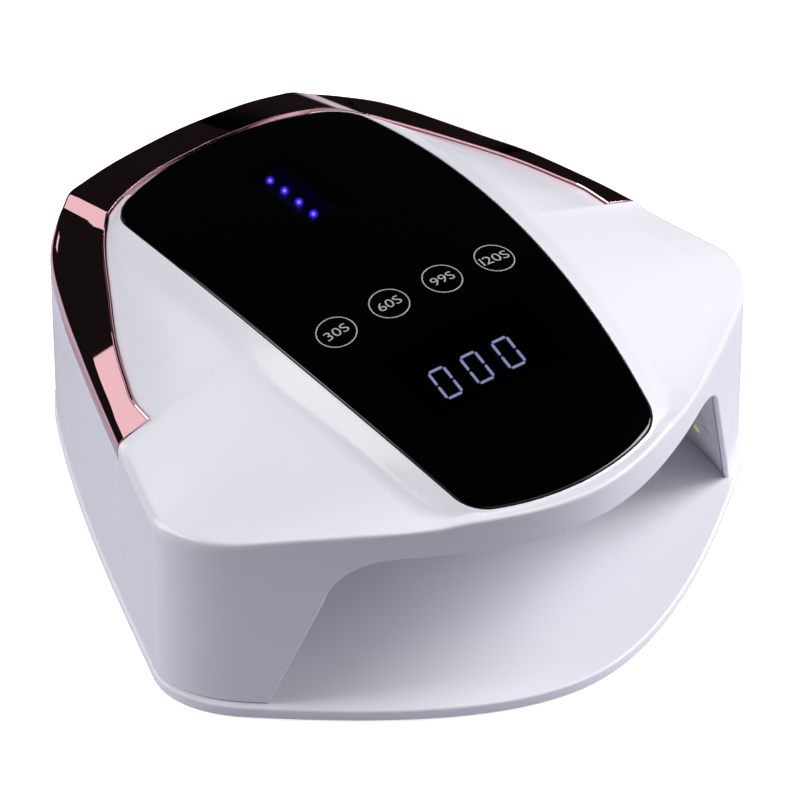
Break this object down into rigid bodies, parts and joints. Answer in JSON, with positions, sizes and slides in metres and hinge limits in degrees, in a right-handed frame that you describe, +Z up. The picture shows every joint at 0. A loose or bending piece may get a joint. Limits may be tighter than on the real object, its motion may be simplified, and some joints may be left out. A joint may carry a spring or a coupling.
{
  "type": "uv led nail lamp",
  "caption": "Cordless UV LED nail lamp: glossy white housing on a magnetic tray, black touch panel, rose gold rear trim and a wide hand opening.",
  "frame": {"origin": "bottom centre of the bounding box, on the table", "axes": "+X to the right, +Y to the back, away from the hand opening, +Z up"},
  "size_m": [0.2278, 0.2336, 0.0992],
  "materials": {
    "gloss_white_abs": "gloss moulded white ABS",
    "tray_white_abs": "satin gloss moulded ABS",
    "reflector_white": "bright white reflector",
    "rose_gold_plating": "mirror rose gold plating on plastic",
    "black_acrylic": "gloss black acrylic",
    "circuit_board": "green solder mask",
    "led_board_white": "white solder mask",
    "nickel_steel": "nickel plated",
    "grey_rubber": "matt",
    "battery_sleeve": "shrink sleeve",
    "dark_plastic": "moulded",
    "display_face": "dark display window"
  },
  "bodies": {
    "tray": {"base_tray": "tray_white_abs", "foot_front_right": "grey_rubber", "foot_front_left": "grey_rubber", "foot_rear_right": "grey_rubber", "foot_rear_left": "grey_rubber", "tray_magnet_front_right": "nickel_steel", "tray_magnet_front_left": "nickel_steel", "tray_magnet_rear_right": "nickel_steel", "tray_magnet_rear_left": "nickel_steel"},
    "housing": {"outer_shell": "gloss_white_abs", "rose_gold_trim": "rose_gold_plating", "touch_panel": "black_acrylic", "catch_disc_front_right": "nickel_steel", "catch_disc_front_left": "nickel_steel", "catch_disc_rear_right": "nickel_steel", "catch_disc_rear_left": "nickel_steel", "reflector_liner": "reflector_white", "led_board_top": "led_board_white", "led_board_rear": "led_board_white", "led_board_right": "led_board_white", "led_board_left": "led_board_white", "main_board": "circuit_board", "touch_board": "circuit_board", "board_screw_1": "nickel_steel", "board_screw_2": "nickel_steel", "board_screw_3": "nickel_steel", "board_screw_4": "nickel_steel", "board_screw_5": "nickel_steel", "board_screw_6": "nickel_steel", "board_screw_7": "nickel_steel", "board_screw_8": "nickel_steel", "display_module": "display_face", "touch_spring_1": "nickel_steel", "touch_spring_2": "nickel_steel", "touch_spring_3": "nickel_steel", "touch_spring_4": "nickel_steel", "battery_light_bar": "circuit_board", "hand_sensor": "dark_plastic", "housing_screw_1": "nickel_steel", "housing_screw_2": "nickel_steel", "housing_screw_3": "nickel_steel", "housing_screw_4": "nickel_steel", "housing_screw_5": "nickel_steel", "housing_screw_6": "nickel_steel", "battery_holder": "dark_plastic", "battery_cell_1": "battery_sleeve", "battery_cell_2": "battery_sleeve", "battery_cell_3": "battery_sleeve", "battery_cell_4": "battery_sleeve", "charging_inlet": "dark_plastic", "switch_frame": "dark_plastic"},
    "rocker": {"power_rocker": "dark_plastic"}
  },
  "joints": [
    {"name": "housing_lift", "type": "slide", "parent": "tray", "child": "housing", "axis": [0, 0, 1], "range_m": [0, 0.12]},
    {"name": "power_switch", "type": "hinge", "parent": "housing", "child": "rocker", "pos_m": [0.012, 0.1116, 0.028], "axis": [1, 0, 0], "range_deg": [-18, 0]}
  ]
}
